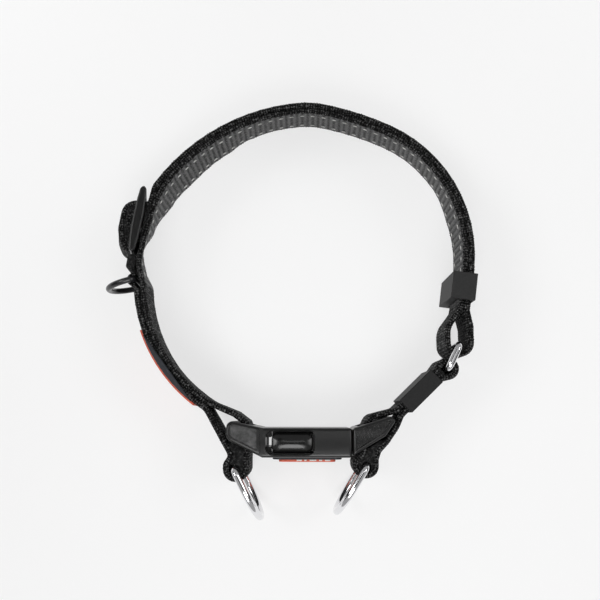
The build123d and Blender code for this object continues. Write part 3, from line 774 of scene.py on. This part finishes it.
long_webbing = band(
    "long_webbing", long_route, [braid, ribs, braid_face],
    step=0.37, relief=webbing_relief, face_look=webbing_look,
)
settle(long_webbing)
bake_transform(long_webbing)
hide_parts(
    "left_strap_outer", "left_ring_loop", "left_strap_inner",
    "neck_strap_inner_left", "neck_strap_inner_right", "neck_strap_link_loop",
    "neck_strap_outer_left", "neck_strap_outer_right",
)


def dashes():
    """Two rows of short raised stitches along the ribbed face."""
    points, aims, lengths = evenly(ribbed, DASH_STEP)
    verts, faces = [], []
    sides = DASH_SIDES
    count = int((lengths[-1] - 2 * DASH_MARGIN) / DASH_PITCH)
    for row in (-1, 1):
        height = MID_Z + row * (WEBBING_WIDTH / 2 - DASH_FROM_EDGE)
        for k in range(count):
            middle = int((DASH_MARGIN + k * DASH_PITCH) / DASH_STEP)
            base = len(verts)
            for i in range(DASH_RINGS):
                share = i / (DASH_RINGS - 1) * 2 - 1
                off = round(share * DASH_LENGTH / 2 / DASH_STEP)
                index = min(max(middle + off, 0), len(points) - 1)
                inward = Vector((aims[index].y, -aims[index].x))
                thin = math.sqrt(max(0.0, 1 - abs(share) ** 3)) * 0.85 + 0.15
                for j in range(sides):
                    turn = 2 * math.pi * j / sides
                    depth = WEBBING_T / 2 + 0.05 + 0.28 * thin * math.cos(turn)
                    spot = points[index] + inward * depth
                    verts.append((spot.x, spot.y, height + DASH_HEIGHT / 2 * thin * math.sin(turn)))
            for i in range(DASH_RINGS - 1):
                low = base + i * sides
                for j in range(sides):
                    n = (j + 1) % sides
                    faces.append((low + j, low + n, low + sides + n, low + sides + j))
            faces.append(tuple(base + j for j in range(sides - 1, -1, -1)))
            faces.append(tuple(base + (DASH_RINGS - 1) * sides + j for j in range(sides)))
    return outward(mesh_piece("ribbed_face_dashes", verts, faces, [dash_yarn]))


dash_rows = settle(dashes())
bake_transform(dash_rows)


# ------------------------------------------------------------------ the short webbing and small runs
def short_route():
    """From the sleeve past the plug, around the right ring and back up to the link ring."""
    branch = [
        right_point(6.0, HALF_PITCH), right_point(-12.7, HALF_PITCH), Vector((15.2, 10.6)),
        Vector((13.4, 7.8)), Vector((12.6, 0.2)),
    ]
    loop = [
        (12.6, 0), (12.3, -4.1), (8.9, -7.4), (8.9, -12.9), (17.1, -12.9), (17.1, -6.3),
        (18.2, -3.0), (21.8, 1.0), (25.9, 7.0),
        right_point(-12.7, -HALF_PITCH), right_point(9.7, -HALF_PITCH),
    ]
    return rounded(branch, [4, 3, 4]) + rounded(loop, [1.6, 1.6, 3.9, 3.9, 3, 4, 8, 8, 4])


def link_turn():
    """Around the link ring's lower bar, from one layer to the other."""
    start, end = right_point(9.7, -HALF_PITCH), right_point(9.7, HALF_PITCH)
    radius = 3.4
    angles = []
    for point, side in ((start, -1), (end, 1)):
        reach = point - LINK_LOWER_BAR
        angle = math.degrees(math.atan2(reach.y, reach.x))
        angles.append(angle - side * math.degrees(math.acos(radius / reach.length)))
    first, last = angles
    turn = (last - first) % 360
    around = arc(LINK_LOWER_BAR, radius, first, first + turn)
    return [start] + around + [end, right_point(6.4, HALF_PITCH)]


def short_look(length, side, height):
    return 2 if side in ("left", "right") else 0


short_webbing = band(
    "short_webbing", short_route() + link_turn(), [braid, ribs, braid_face], step=0.4,
    relief=plain_relief, face_look=short_look,
)
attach(short_webbing, "plug_side")
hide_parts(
    "right_strap_inner", "right_strap_outer", "right_strap_link_fold",
    "right_plug_branch", "right_ring_loop",
)

BAR_LOOP_R = 3.99
bar_loop_route = [
    slide_point(BAR_LOOP_R, -2.3),
    *arc(SLIDE_MIDDLE, BAR_LOOP_R, SLIDE_AIM, SLIDE_AIM + 180),
    slide_point(-BAR_LOOP_R, -2.3),
]
slide_loop = band("slide_bar_webbing", bar_loop_route, [braid], step=0.4, relief=plain_relief)
tilt(slide_loop, SLIDE_TILT)
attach(slide_loop, "socket_side")
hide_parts("slide_bar_loop")

TAG_BAR = Vector((-85.0, 68.6))
TAPE_R = 2.2
tape_route = [
    TAG_BAR + Vector((1.0, TAPE_R)),
    *arc(TAG_BAR, TAPE_R, 90, 270),
    TAG_BAR + Vector((1.0, -TAPE_R)),
]
tape = band("tag_ring_tape_turn", tape_route, [braid], width=19.4, thickness=1.2, edge=0.5, step=0.3)
settle(tape)
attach(tape, "socket_side")
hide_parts("tag_ring_tape")

tab_outline = turned(rect(-21.5, -2.3, -14.9, 1.5, 1.5), SLIDE_MIDDLE, SLIDE_AIM)
stop_tab = block("stop_tab", tab_outline, 3.5, 28.5, [core_yarn], bevel=1.1, segments=4)
tilt(stop_tab, TAB_TILT)
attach(stop_tab, "socket_side")
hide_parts("slide_stop_tab")


def sewn_core(name, outline, body):
    """The sewn-down layers that fill the room between two runs of a loop."""
    core = block(name, outline, CORE_LOW, CORE_HIGH, [core_yarn], bevel=0.5)
    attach(core, body)
    return core


LEFT_LOOP_CORE = [
    (-37.0, -10.5), (-36.9, -2.1), (-41.6, 0.3), (-43.6, 0.2), (-41.0, -4.9), (-43.4, -8.6),
    (-40.8, -8.8), (-39.85, -9.1), (-39.25, -9.75), (-39.0, -10.6), (-39.25, -11.45),
    (-39.9, -12.15), (-38.6, -12.9), (-37.6, -12.0),
]
RIGHT_LOOP_CORE = [
    (9.9, -9.0), (10.4, -10.5), (11.5, -11.5), (12.35, -10.85), (11.75, -10.2), (11.5, -9.3),
    (11.75, -8.45), (12.35, -7.8), (13.3, -7.5), (14.2, -7.7), (14.9, -8.4), (15.1, -9.3),
    (14.9, -10.3), (16.1, -10.5), (16.4, -8.1), (17.4, -2.8), (20.3, 0.9), (19.4, 1.5),
    (13.6, -2.2), (12.9, -4.4), (9.7, -7.2),
]
SLIDE_LOOP_CORE = [(6.4, 1.0), (6.4, 5.4), (-5.6, 5.4), (-11.6, 3.0), (-11.6, 1.0)]

sewn_core("left_loop_core", LEFT_LOOP_CORE, "socket_side")
sewn_core("right_loop_core", RIGHT_LOOP_CORE, "plug_side")
slide_outline = turned(SLIDE_LOOP_CORE, SLIDE_MIDDLE, SLIDE_AIM)
slide_core = sewn_core("slide_loop_core", slide_outline, "socket_side")
tilt(slide_core, SLIDE_TILT)


def shade_filler_beside_slide():
    """A dark block of yarn between the slide's bar and the band that runs past it, standing in for the
    shade in the gap there.
    """
    centre, meet = band_blend()
    edge = []
    for point in arc(centre, BAND_BLEND_R + WEBBING_T / 2 - 0.3, 180 - BAND_LEAN, meet):
        along = (point - SLIDE_MIDDLE).dot(heading(SLIDE_AIM))
        if -11.5 < along < 8.0:
            edge.append(tuple(point))
    return [tuple(slide_point(7.5, -2.3)), tuple(slide_point(-11.0, -2.3))] + edge


# painted shade: a dark block set in the gap beside the slide
slide_gap_shade = sewn_core("slide_gap_shade_block", shade_filler_beside_slide(), "socket_side")
tilt(slide_gap_shade, SLIDE_TILT)
sewn_core("link_fold_core", turned(rect(9.4, -2.2, 12.4, 2.2), RIGHT_MIDDLE, RIGHT_AIM), "plug_side")

# ------------------------------------------------------------------ slide, keeper, sleeve
CUT_LOW, CUT_HIGH = 3.2, 28.8  # the walls of slide and buckle are 3.2 thick
slide_half = ((SLIDE_HALF, 0.2), (14.0, 0.9), (12.9, 1.4), (9.0, 1.8), (3.0, 2.1))
lip = list(slide_half)
lip += [(-along, out + 0.15) for along, out in reversed(slide_half)]
lip += [(-along, 0.15 - out) for along, out in slide_half]
lip += [(along, -out) for along, out in reversed(slide_half)]
slide_windows = [
    (turned(rect(low, -9, high, 9), SLIDE_MIDDLE, SLIDE_AIM), CUT_LOW, CUT_HIGH)
    for low, high in ((1.6, 10.5), (-10.5, -1.6))
]
slide = block("slide", turned(lip, SLIDE_MIDDLE, SLIDE_AIM), 0, HARDWARE_HEIGHT, [nylon],
              slide_windows, bevel=0.4, first=0.9)
tilt(slide, SLIDE_TILT)
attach(slide, "socket_side")
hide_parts("slide_frame")


def upright_tube(name, middle, aim, low, high, outer, inner, look, bevel, shift=0.0, room=0.0):
    """A square loop around the webbing: outer and inner are across and height."""
    outline = turned(rect(low, shift - outer[0] / 2, high, shift + outer[0] / 2), middle, aim)
    hole = turned(rect(low - 1, -inner[0] / 2, high + 1, inner[0] / 2 + room), middle, aim)
    half, half_inner = outer[1] / 2, inner[1] / 2
    cut = (hole, MID_Z - half_inner, MID_Z + half_inner)
    return block(name, outline, MID_Z - half, MID_Z + half, [look], [cut], bevel=bevel, segments=4)


KEEPER_MIDDLE = Vector((56.29, 65.61))
KEEPER_AIM = 82.5
keeper = upright_tube("square_keeper", KEEPER_MIDDLE, KEEPER_AIM, -6.5, 4.8,
                      (10.2, HARDWARE_HEIGHT), (5.6, 26.7), keeper_rubber, 0.45, 1.75, 0.4)
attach(keeper, "rubber_keeper")
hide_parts("rubber_keeper")
sleeve = upright_tube("strap_sleeve", RIGHT_MIDDLE, RIGHT_AIM, -8.9, 9.3,
                      (7.2, 27.1), (5.4, 25.3), sleeve_rubber, 0.4)
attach(sleeve, "plug_side")
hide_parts("rubber_sleeve")

# ------------------------------------------------------------------ buckle
PANEL_TOP, PANEL_LOW = 31.2, 0.8  # the floors of the shallow pockets
PAST_TOP, PAST_LOW = 33, -1  # where a cut through the surface ends
WINDOW = rect(-28.0, -4.9, -7.8, 5.5, 3.0)
GROOVE = rect(-30.5, -20, -29.1, 20)
SOCKET_PANEL = [(-31.6, 5.6), (-41.4, 7.8), (-42.5, 7.0), (-42.9, 3.5), (-42.0, 2.3), (-31.6, -3.0)]
socket_line = [
    (7.3, 6.3), (-29.3, 6.3), (-42.0, 9.1), (-43.9, 7.8), (-44.4, 3.0), (-42.9, 1.0),
    (-29.3, -5.7), (7.3, -5.7),
]
socket_cuts = [
    (rect(-26.0, -4.0, 8.3, 4.7), CUT_LOW, CUT_HIGH),
    (rect(-28.6, -1.5, -25.5, 2.4), CUT_LOW, CUT_HIGH),
    (WINDOW, 27.0, PAST_TOP),
    (WINDOW, PAST_LOW, 5.0),
    (GROOVE, 31.3, PAST_TOP),
    (GROOVE, PAST_LOW, 0.7),
    (rect(-38.6, -20, -33.4, 20), CUT_LOW, CUT_HIGH),
    (SOCKET_PANEL, PANEL_TOP, PAST_TOP),
    (SOCKET_PANEL, PAST_LOW, PANEL_LOW),
]
socket = block("buckle_housing", socket_line, 0, HARDWARE_HEIGHT, [nylon], socket_cuts,
               bevel=0.5, first=1.3)
panels(socket, nylon_panel_sheen, (PANEL_TOP, PANEL_LOW))
crowned(socket, lambda x: 0.3 + 0.33 * max(0.0, -29.3 - x), 6.0, 0.45)
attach(socket, "socket_side")
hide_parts("buckle_socket")

plug_line = [
    (7.6, 6.3), (7.6, -5.4), (9.9, -3.7), (21.0, 3.0), (24.6, 8.3), (25.2, 9.5), (23.6, 11.3),
    (10.0, 6.9),
]
PLUG_PANEL = [
    (8.9, 5.4), (8.9, -3.2), (10.1, -2.1), (20.0, 4.1), (23.1, 8.8), (22.5, 9.5), (10.3, 5.8),
]
plug_cuts = [
    (rect(9.9, -20, 16.4, 24), CUT_LOW, CUT_HIGH),
    (PLUG_PANEL, PANEL_TOP, PAST_TOP),
    (PLUG_PANEL, PAST_LOW, PANEL_LOW),
]
plug = block("buckle_plug_end", plug_line, 0, HARDWARE_HEIGHT, [nylon], plug_cuts,
             bevel=0.5, first=1.3)
panels(plug, nylon_gloss, (PANEL_TOP, PANEL_LOW))
crowned(plug, lambda x: 0.4 + 0.6 * max(0.0, x - 9.0), 5.0, 0.35)
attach(plug, "plug_side")
web = block("housing_web", rect(-25.6, -4.3, -8.5, 5.0), 14.5, 17.5, [nylon], bevel=0.3)
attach(web, "socket_side")
tongue = block("buckle_tongue", rect(-7.4, -2.6, 8.6, 3.2), 12, 20, [nylon], bevel=0.4)
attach(tongue, "plug_side")
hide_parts("buckle_plug")


def pillow(name, low_x, high_x, low_y, high_y, radius, foot_z, top_z, look, mirrored):
    """A pressable pad: a rounded outline that swells to a soft crown."""
    mid_x, mid_y = (low_x + high_x) / 2, (low_y + high_y) / 2
    outline = rect(low_x, low_y, high_x, high_y, radius)
    half_x, half_y = (high_x - low_x) / 2, (high_y - low_y) / 2
    inset = (0.0, 0.0, 0.12, 0.3, 0.6, 0.95, 1.35, 1.8, 2.3, 2.8, 3.3, 3.8)
    verts, faces = [], []
    size = len(outline)
    for ring, shift in enumerate(inset):
        for x, y in outline:
            px = math.copysign(max(0.0, abs(x - mid_x) - shift), x - mid_x)
            py = (y - mid_y) * (1 - shift / half_y)
            drop = 1.5 * (abs(py) / half_y) ** 2.2 + 1.3 * (abs(px) / half_x) ** 3.5
            pz = top_z - drop if ring else foot_z
            verts.append((mid_x + px, mid_y + py, HARDWARE_HEIGHT - pz if mirrored else pz))
    for ring in range(len(inset) - 1):
        for k in range(size):
            n = (k + 1) % size
            low, high = ring * size, (ring + 1) * size
            faces.append((low + k, low + n, high + n, high + k))
    faces.append(tuple(range(size)))
    faces.append(tuple((len(inset) - 1) * size + k for k in range(size)))
    piece = outward(mesh_piece(name, verts, faces, [look]))
    shade(piece, math.radians(50))
    return piece


ARM_LOW, ARM_HIGH = 25.45, 28.45
ARM_ROOT = (7.2, 26.95)
ARM_ROOT_R = 1.5
arm_root = [
    (
        ARM_ROOT[0] + ARM_ROOT_R * math.cos(math.radians(a)),
        ARM_ROOT[1] + ARM_ROOT_R * math.sin(math.radians(a)),
    )
    for a in range(-80, 90, 20)
]
arm_line = [(-12.2, ARM_LOW), (6.6, ARM_LOW), *arm_root, (6.6, ARM_HIGH), (-12.2, ARM_HIGH)]
for body, mirrored in (("prong_upper", False), ("prong_lower", True)):
    pad = pillow(body + "_pad", -25.5, -8.6, -3.65, 4.3, 2.6, 25.6, 32.0, nylon_pad, mirrored)
    line = [(x, HARDWARE_HEIGHT - z if mirrored else z) for x, z in arm_line]
    arm = block(body + "_arm", line, -6.9, 0, [nylon], bevel=0.0, turn=upright(3.75))
    outward(arm)
    shade(arm)
    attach(pad, body)
    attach(arm, body)
    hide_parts(body)


def badge(name, x_low, x_high, z_low, z_high, radius, front, depth, look, node):
    outline = rect(x_low, z_low, x_high, z_high, radius)
    piece = block(name, outline, -depth, 0, [look], bevel=0.25, turn=upright(front + depth))
    outward(piece)
    shade(piece)
    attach(piece, "socket_side")
    if node:
        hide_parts(node)
    return piece


badge("buckle_badge_bed", -25.4, 3.4, 8, 24, 3.0, -6.8, 1.1, badge_dark, "buckle_badge_base")
badge("buckle_badge_print", -22.8, 0.8, 9, 23, 2.4, -7.8, 1.0, badge_coral, "buckle_badge_face")

# plain bars stand where the badge would carry its marks
BADGE_BARS = ((-15.4, -13.2), (-12.2, -11.2), (-10.0, -7.2), (-6.0, -4.8), (-3.6, -1.4))
for number, (low_x, high_x) in enumerate(BADGE_BARS):
    outline = rect(low_x, -7.95, high_x, -7.4)
    edge = rect(low_x, -7.4, high_x, -6.85)
    marks = (
        (f"badge_bar_{number}", outline, 11.5, 20.5),
        (f"badge_edge_{number}", edge, 21, 23.2),
    )
    for name, plan, low_z, high_z in marks:
        bar = block(name, plan, low_z, high_z, [badge_white], bevel=0.1)
        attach(bar, "socket_side")


def badge_bed():
    """The dark crescent on the left strap."""
    surface = STRAP_INNER_R + LAYER_PITCH + WEBBING_T / 2
    first, last = STRAP_FIRST + 0.36 * STRAP_TURN, STRAP_FIRST + 0.93 * STRAP_TURN
    outer = arc(STRAP_CENTRE, surface + 0.15, first, last)
    inner = []
    for i in range(1, 20):
        share = 1 - i / 20
        depth = 2.4 * math.sin(math.pi * share) ** 0.8
        inner.append(at(STRAP_CENTRE, surface - depth, first + (last - first) * share))
    return [tuple(p) for p in outer + inner]


bed = settle(block("strap_badge_bed", badge_bed(), 3.4, 28.9, [badge_dark], bevel=0.35))
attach(bed, "socket_side")
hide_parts("strap_badge_base")
print_route = arc(
    STRAP_CENTRE, STRAP_INNER_R + LAYER_PITCH + 1.7,
    STRAP_FIRST + 0.32 * STRAP_TURN, STRAP_FIRST + 0.95 * STRAP_TURN,
)
strap_print = settle(
    band("strap_badge_print", print_route, [badge_coral], width=21, thickness=1.0, edge=0.4)
)
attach(strap_print, "socket_side")
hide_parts("strap_badge_face")

for name, look in (
    ("left_ring", steel), ("right_ring", steel), ("link_ring", steel), ("tag_ring", paint),
):
    nodes[name].data.materials.clear()
    nodes[name].data.materials.append(look)

# ------------------------------------------------------------------ floor, light and camera
FLOOR_GLOW = 0.72  # share of the floor's brightness that no shadow takes away


def floor_paint():
    """Matt white paint that keeps a soft shadow, evenly bright to the camera and in mirrors."""
    look = Look("studio_floor_paint", "#f8f8f8", 0.9, Specular_IOR_Level=0.0)
    rays = look.add("ShaderNodeLightPath").outputs
    mirrored = look.sum("MAXIMUM", rays["Is Glossy Ray"], rays["Is Transmission Ray"])
    seen = look.sum("MAXIMUM", rays["Is Camera Ray"], mirrored)
    glow = look.add("ShaderNodeEmission", {"Color": linear("#f8f8f8"), "Strength": 1.0})
    share = look.sum("MULTIPLY", seen, FLOOR_GLOW)
    shaders = {0: share, 1: look.surface.outputs[0], 2: glow.outputs[0]}
    mixed = look.add("ShaderNodeMixShader", shaders)
    out = look.tree.nodes["Material Output"]
    look.tree.links.new(mixed.outputs[0], out.inputs["Surface"])
    return look.material


def card(name, corners, look):
    mesh_piece(name, corners, [(0, 1, 2, 3)], [look])


CARD_Z = 430
FLAG_X = 420


def overhead(low_x, high_x, low_y, high_y):
    """The corners of a level card above the camera."""
    return [(x, y, CARD_Z) for x, y in rect(low_x, low_y, high_x, high_y)]


# bright wire and smooth plastic get their dark parts from black cloth, and a sheen from a softbox
flag_cloth = Look("flag_cloth", "#0a0a0a", 1.0).material
for side in (-FLAG_X, FLAG_X):
    upright_card = [(side, -160, 30), (side, 160, 30), (side, 160, 330), (side, -160, 330)]
    card(f"flag_{side}", upright_card, flag_cloth)
card("buckle_flag", overhead(-120, 100, -110, 10), flag_cloth)
card("slide_flag", overhead(-240, -110, 110, 270), flag_cloth)
softbox = Look("softbox_silk", "#ffffff", 1.0, Emission_Color=(1, 1, 1, 1), Emission_Strength=0.9)
card("softbox", overhead(-110, 90, 25, 95), softbox.material)
FLOOR_HALF = 1500
floor_corners = [(x, y, 0) for x, y in rect(-FLOOR_HALF, -FLOOR_HALF, FLOOR_HALF, FLOOR_HALF)]
floor = mesh_piece("studio_floor", floor_corners, [(0, 1, 2, 3)], [floor_paint()])

world = bpy.data.worlds.new("studio")
bpy.context.scene.world = world
world.use_nodes = True
world.node_tree.nodes["Background"].inputs["Color"].default_value = (1, 1, 1, 1)
world.node_tree.nodes["Background"].inputs["Strength"].default_value = 0.36


def sun(name, strength, toward, spread):
    """A soft light from far off, from where toward points back."""
    light = bpy.data.lights.new(name, "SUN")
    light.energy = strength
    light.angle = math.radians(spread)
    lamp = bpy.data.objects.new(name, light)
    lamp.rotation_euler = Vector(toward).to_track_quat("-Z", "Y").to_euler()
    bpy.context.scene.collection.objects.link(lamp)
    return lamp


sun("front_softbox", 1.45, (0.05, 0.57, -0.82), 35)
sun("left_softbox", 1.15, (0.75, -0.1, -0.66), 30)
sun("right_softbox", 0.7, (-0.75, -0.15, -0.66), 30)

CAMERA_SPOT = Vector((-0.0099, 0.0115, 0.366))
CAMERA_WAY = Vector((-0.0121, 0.1402, -0.9901)).normalized()
camera = bpy.data.objects.new("camera", bpy.data.cameras.new("camera"))
right = (Vector((1, 0, 0)) - CAMERA_WAY * CAMERA_WAY.x).normalized()
up = right.cross(CAMERA_WAY)
camera.matrix_world = Matrix((
    (right.x, up.x, -CAMERA_WAY.x, CAMERA_SPOT.x),
    (right.y, up.y, -CAMERA_WAY.y, CAMERA_SPOT.y),
    (right.z, up.z, -CAMERA_WAY.z, CAMERA_SPOT.z),
    (0, 0, 0, 1),
))
camera.data.sensor_width = 36
camera.data.lens = 48.72
camera.data.clip_start = 0.01
bpy.context.scene.collection.objects.link(camera)
bpy.context.scene.camera = camera
bpy.context.scene.view_settings.view_transform = "Standard"
